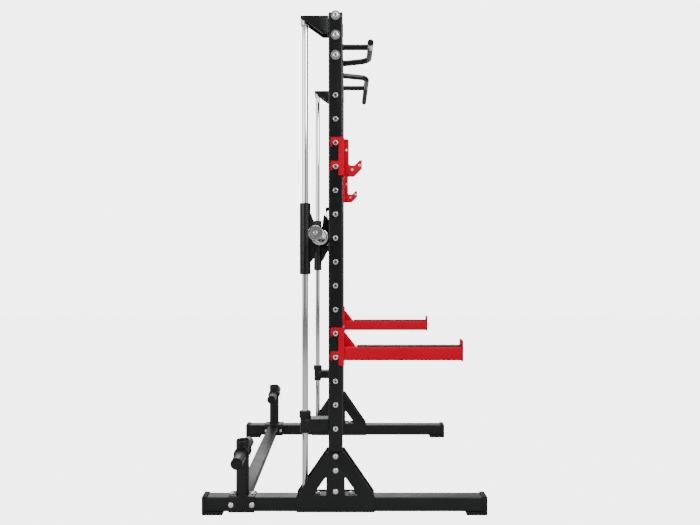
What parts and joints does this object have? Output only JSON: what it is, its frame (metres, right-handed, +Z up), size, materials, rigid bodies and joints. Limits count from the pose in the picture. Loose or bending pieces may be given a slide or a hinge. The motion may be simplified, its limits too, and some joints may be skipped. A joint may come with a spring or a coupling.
{
  "type": "smith machine",
  "caption": "Half rack with a barbell guided on vertical rods, catches that hang it on studs, hook-on cups, hook-on safety arms, a pull-up bar and plate storage.",
  "frame": {"origin": "on the floor, halfway along the runners and halfway between the two sides", "axes": "+X along the lifting bar towards the right side, +Y to the rear (storage posts), +Z up; the lifter stands at -Y"},
  "size_m": [2.2, 1.203, 2.125],
  "materials": {
    "black_powder_coat": "semi-gloss",
    "red_powder_coat": "semi-gloss",
    "black_steel": "semi-gloss",
    "chrome": "polished",
    "zinc": "satin",
    "bearing_steel": "satin",
    "bronze": "satin",
    "black_plastic": "matte",
    "black_rubber": "matte"
  },
  "bodies": {
    "frame": {"base_runner_left": "black_powder_coat", "base_runner_right": "black_powder_coat", "end_foot_left_front": "black_rubber", "end_foot_left_rear": "black_rubber", "end_foot_right_front": "black_rubber", "end_foot_right_rear": "black_rubber", "flange_bolt_left_lower": "zinc", "flange_bolt_left_middle": "zinc", "flange_bolt_left_upper": "zinc", "flange_bolt_right_lower": "zinc", "flange_bolt_right_middle": "zinc", "flange_bolt_right_upper": "zinc", "guide_rod_left": "chrome", "guide_rod_right": "chrome", "gusset_left_inner": "black_powder_coat", "gusset_left_outer": "black_powder_coat", "gusset_right_inner": "black_powder_coat", "gusset_right_outer": "black_powder_coat", "pull_up_grip_left": "black_powder_coat", "pull_up_grip_right": "black_powder_coat", "rear_crossmember": "black_powder_coat", "rod_bumper_left": "black_rubber", "rod_bumper_right": "black_rubber", "rod_support_left": "black_powder_coat", "rod_support_right": "black_powder_coat", "rod_top_bracket_left": "black_powder_coat", "rod_top_bracket_right": "black_powder_coat", "storage_post_left": "black_powder_coat", "storage_post_right": "black_powder_coat", "top_crossbeam": "black_powder_coat", "upright_cap_left": "black_plastic", "upright_cap_right": "black_plastic", "upright_left": "black_powder_coat", "upright_right": "black_powder_coat", "weight_peg_left": "black_powder_coat", "weight_peg_right": "black_powder_coat"},
    "carriage": {"bar_bushing_left": "bronze", "bar_bushing_right": "bronze", "carriage_left": "black_powder_coat", "carriage_right": "black_powder_coat", "linear_bearing_left_lower": "bearing_steel", "linear_bearing_left_upper": "bearing_steel", "linear_bearing_right_lower": "bearing_steel", "linear_bearing_right_upper": "bearing_steel"},
    "bar": {"bar_hook_left": "black_steel", "bar_hook_right": "black_steel", "lift_bar": "chrome"},
    "sleeve_left": {"weight_sleeve_left": "chrome", "sleeve_cap_left": "bearing_steel"},
    "sleeve_right": {"weight_sleeve_right": "chrome", "sleeve_cap_right": "bearing_steel"},
    "jhook_left": {"j_hook_left": "red_powder_coat", "j_hook_core_left": "black_plastic"},
    "jhook_right": {"j_hook_right": "red_powder_coat", "j_hook_core_right": "black_plastic"},
    "spotter_left": {"spotter_arm_left": "red_powder_coat", "spotter_pad_left": "black_rubber"},
    "spotter_right": {"spotter_arm_right": "red_powder_coat", "spotter_pad_right": "black_rubber"}
  },
  "joints": [
    {"name": "bar_lift", "type": "slide", "parent": "frame", "child": "carriage", "axis": [0, 0, 1], "range_m": [-0.58, 0.6]},
    {"name": "bar_turn", "type": "hinge", "parent": "carriage", "child": "bar", "pos_m": [0, 0.097, 1.165], "axis": [1, 0, 0], "range_deg": [0, 15]},
    {"name": "sleeve_spin_left", "type": "hinge", "parent": "bar", "child": "sleeve_left", "pos_m": [-0.9, 0.097, 1.165], "axis": [1, 0, 0], "continuous": true},
    {"name": "sleeve_spin_right", "type": "hinge", "parent": "bar", "child": "sleeve_right", "pos_m": [0.9, 0.097, 1.165], "axis": [1, 0, 0], "continuous": true},
    {"name": "jhook_lift_left", "type": "slide", "parent": "frame", "child": "jhook_left", "axis": [0, 0, 1], "range_m": [0, 0.03]},
    {"name": "jhook_lift_right", "type": "slide", "parent": "frame", "child": "jhook_right", "axis": [0, 0, 1], "range_m": [0, 0.03]},
    {"name": "spotter_lift_left", "type": "slide", "parent": "frame", "child": "spotter_left", "axis": [0, 0, 1], "range_m": [0, 0.03]},
    {"name": "spotter_lift_right", "type": "slide", "parent": "frame", "child": "spotter_right", "axis": [0, 0, 1], "range_m": [0, 0.03]}
  ]
}
